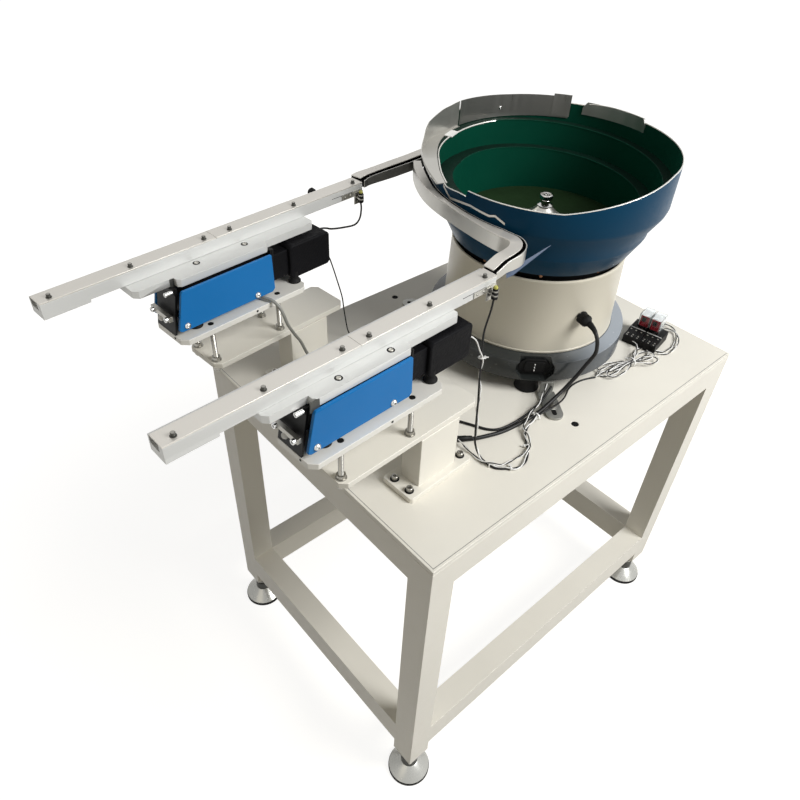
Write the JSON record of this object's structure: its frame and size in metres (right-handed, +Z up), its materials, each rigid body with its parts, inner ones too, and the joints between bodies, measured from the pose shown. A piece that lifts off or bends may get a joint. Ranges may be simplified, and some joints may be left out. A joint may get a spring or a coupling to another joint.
{
  "type": "vibratory bowl feeder",
  "caption": "Sprung spiral bowl on a round drive with curved chutes feeding linear vibrating tracks, on a welded tube table with levelling feet.",
  "frame": {"origin": "on the floor, under the middle of the machine's bounding box", "axes": "+X along the tracks towards the bowl, +Y from the near long side of the table to the far one, +Z up"},
  "size_m": [1.3574, 0.783, 1.4028],
  "materials": {
    "cream_paint": "satin powder coat",
    "chrome": "polished",
    "base_paint": "satin paint",
    "casing_paint": "satin paint",
    "rubber": "matt",
    "stainless": "brushed",
    "black_cast": "rough black paint",
    "black_plastic": "matt",
    "bowl_paint": "gloss paint outside, lined inside",
    "return_paint": "satin paint",
    "blue_paint": "satin anodised blue",
    "aluminium": "milled",
    "clear_plastic": "clear",
    "cord_jacket": "matt jacket",
    "pale_jacket": "matt jacket"
  },
  "bodies": {
    "table": {"table_frame": "cream_paint", "table_top": "cream_paint", "drive_base": "base_paint", "drive_support_1": "rubber", "drive_support_2": "rubber", "drive_support_3": "rubber", "drive_clamp_1": "stainless", "drive_clamp_2": "stainless", "drive_clamp_3": "stainless", "casing": "casing_paint", "gland": "black_plastic", "coil": "black_cast", "near_pillar": "cream_paint", "near_stand_plate": "aluminium", "near_bed_plate": "aluminium", "near_drive_body": "black_cast", "near_housing": "blue_paint", "far_pillar": "cream_paint", "far_stand_plate": "aluminium", "far_bed_plate": "aluminium", "far_drive_body": "black_cast", "far_housing": "blue_paint", "amplifier_1": "black_plastic", "amplifier_2": "black_plastic", "hank": "pale_jacket", "drive_cable": "cord_jacket", "near_sensor_lead": "cord_jacket", "near_box_lead": "pale_jacket", "far_sensor_lead": "cord_jacket", "far_drive_cable": "pale_jacket"},
    "bowl unit": {"drive_top": "black_cast", "bowl": "bowl_paint", "bowl_cone": "stainless", "bowl_nut": "stainless", "guard_back": "stainless", "guard_left": "stainless", "chute_1": "stainless", "chute_1_cover": "stainless", "chute_2": "stainless", "chute_2_cover": "stainless", "return_plate": "return_paint"},
    "near track": {"near_adapter": "aluminium", "near_rail": "aluminium", "near_rail_cover": "stainless", "near_sensor": "black_plastic", "near_spring_front": "stainless", "near_spring_rear": "stainless"},
    "far track": {"far_adapter": "aluminium", "far_rail": "aluminium", "far_rail_cover": "stainless", "far_sensor": "black_plastic", "far_spring_front": "stainless", "far_spring_rear": "stainless"},
    "foot 1": {"foot_1": "chrome"},
    "foot 2": {"foot_2": "chrome"},
    "foot 3": {"foot_3": "chrome"},
    "foot 4": {"foot_4": "chrome"},
    "amplifier cover 1": {"amplifier_1_cover": "clear_plastic"},
    "amplifier cover 2": {"amplifier_2_cover": "clear_plastic"}
  },
  "joints": [
    {"name": "bowl_swing", "type": "hinge", "parent": "table", "child": "bowl unit", "pos_m": [0.3062, 0.005, 1.171], "axis": [0, 0, 1], "range_deg": [-0.15, 0.15], "stiffness_Nm_per_rad": 4000},
    {"name": "near_track_slide", "type": "slide", "parent": "table", "child": "near track", "axis": [0.9991, 0.0422, 0], "range_m": [-0.0005, 0.0005], "stiffness_N_per_m": 40000},
    {"name": "far_track_slide", "type": "slide", "parent": "table", "child": "far track", "axis": [0.9965, 0.0837, 0], "range_m": [-0.0005, 0.0005], "stiffness_N_per_m": 40000},
    {"name": "foot_1_level", "type": "slide", "parent": "table", "child": "foot 1", "axis": [0, 0, 1], "range_m": [-0.025, 0]},
    {"name": "foot_2_level", "type": "slide", "parent": "table", "child": "foot 2", "axis": [0, 0, 1], "range_m": [-0.025, 0]},
    {"name": "foot_3_level", "type": "slide", "parent": "table", "child": "foot 3", "axis": [0, 0, 1], "range_m": [-0.025, 0]},
    {"name": "foot_4_level", "type": "slide", "parent": "table", "child": "foot 4", "axis": [0, 0, 1], "range_m": [-0.025, 0]},
    {"name": "amplifier_1_cover_hinge", "type": "hinge", "parent": "table", "child": "amplifier cover 1", "pos_m": [0.56829, -0.17575, 0.9273], "axis": [-0.1736, 0.9848, 0], "range_deg": [0, 110]},
    {"name": "amplifier_2_cover_hinge", "type": "hinge", "parent": "table", "child": "amplifier cover 2", "pos_m": [0.57569, -0.21755, 0.9273], "axis": [-0.1736, 0.9848, 0], "range_deg": [0, 110]}
  ]
}
